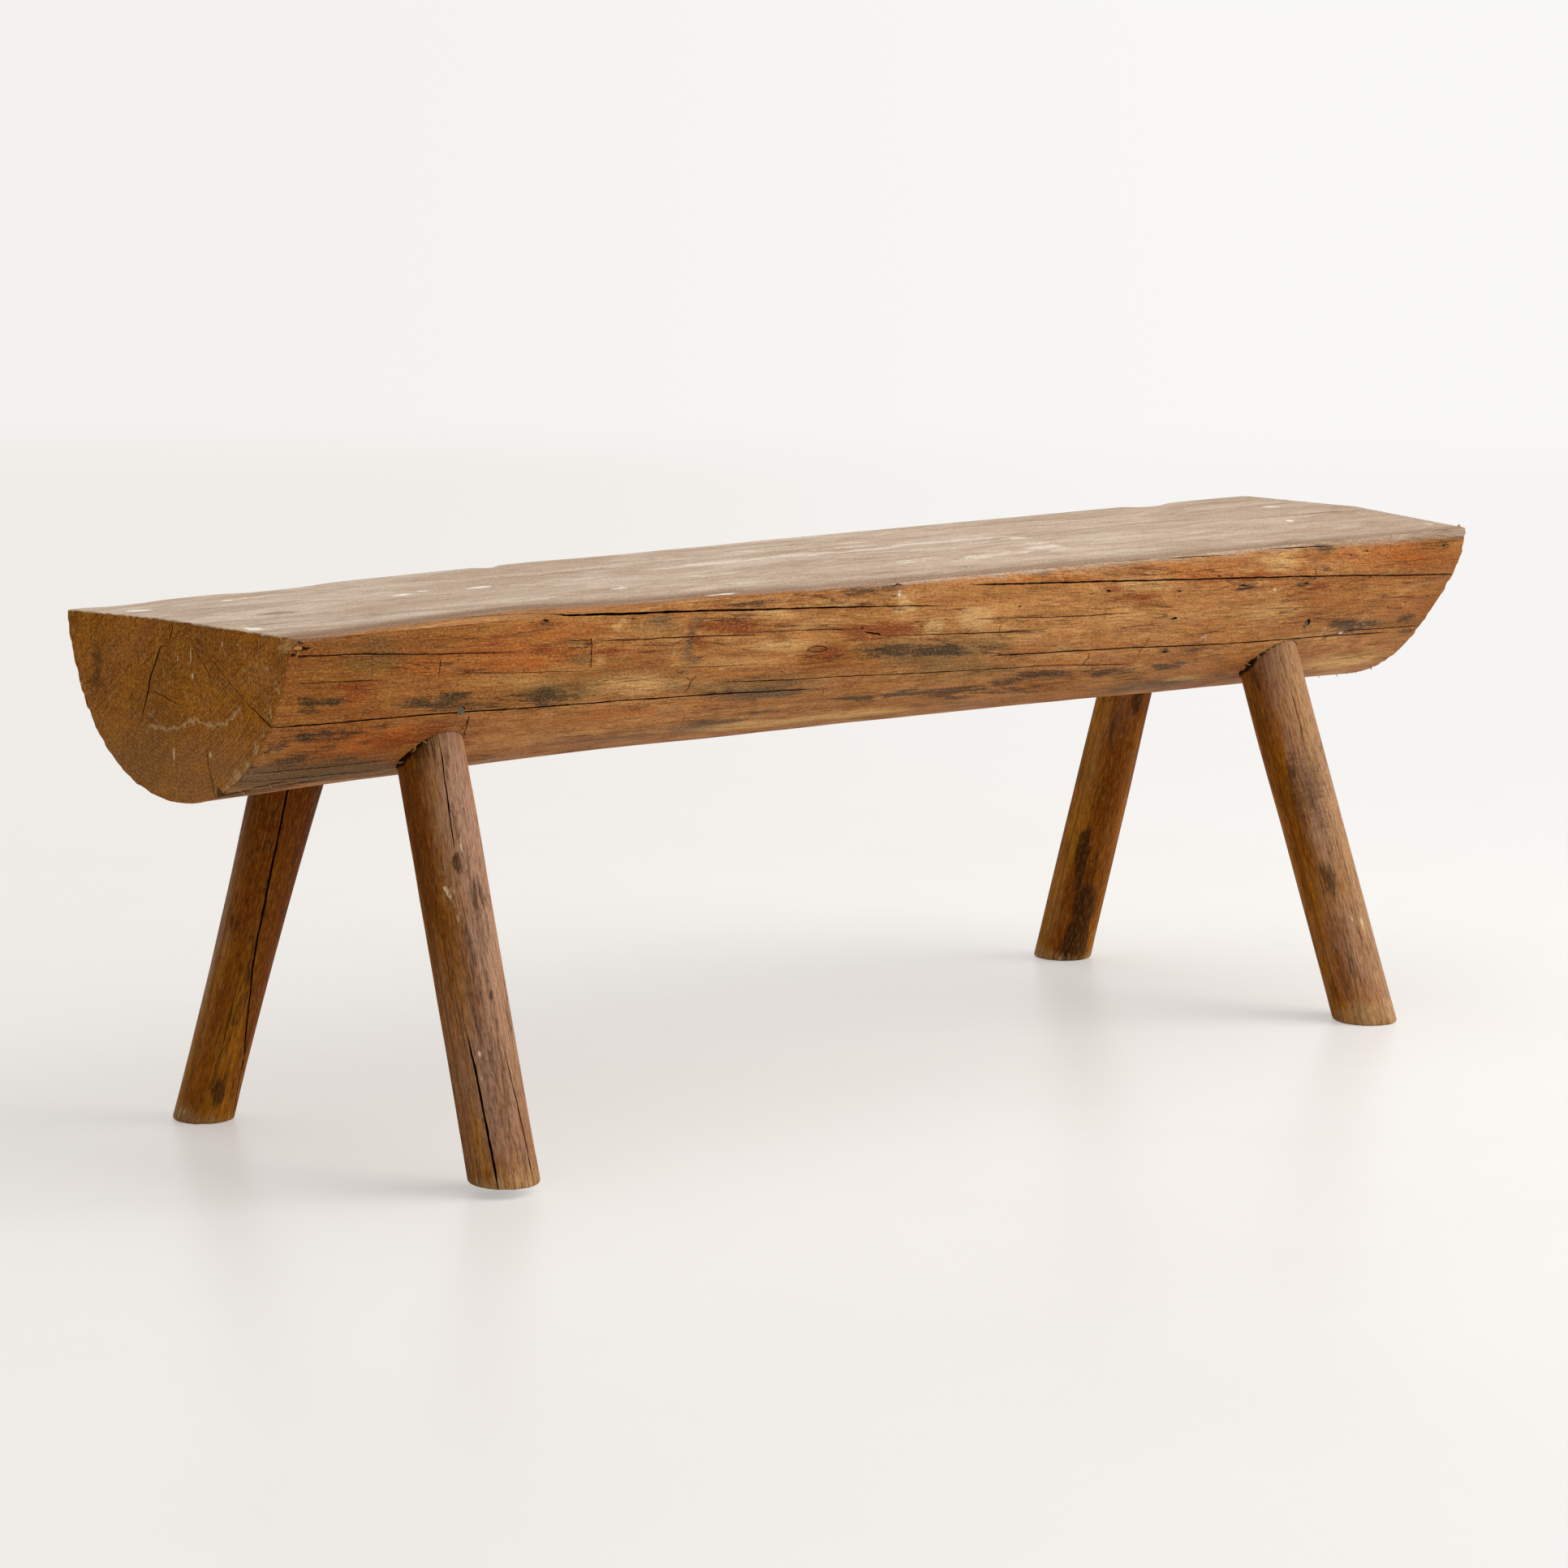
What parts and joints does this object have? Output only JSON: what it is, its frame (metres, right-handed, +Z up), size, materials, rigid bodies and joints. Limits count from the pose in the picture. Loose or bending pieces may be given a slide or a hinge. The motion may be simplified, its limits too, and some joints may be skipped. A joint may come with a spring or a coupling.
{
  "type": "bench",
  "caption": "Rustic half-log bench: a split log with its flat face up on splayed round pole legs, each driven into a blind mortise and held by a wire nail.",
  "frame": {"origin": "on the floor, under the middle of the whole bench", "axes": "+X along the seat to its right end as seen from the front, +Y to the back, +Z up"},
  "size_m": [1.4212, 0.4638, 0.454],
  "materials": {
    "log_wood": "bare weathered pine, oiled by hands and age, with drying checks and grey-blue stain",
    "leg_wood": "peeled round pole, bare and weathered brown, with long drying checks",
    "nail_steel": "dull grey zinc, a little rusty"
  },
  "bodies": {
    "root": {"seat_log": "log_wood", "leg_front_left": "leg_wood", "leg_back_left": "leg_wood", "leg_front_right": "leg_wood", "leg_back_right": "leg_wood", "nail_front_left": "nail_steel", "nail_back_left": "nail_steel", "nail_front_right": "nail_steel", "nail_back_right": "nail_steel"}
  },
  "joints": []
}
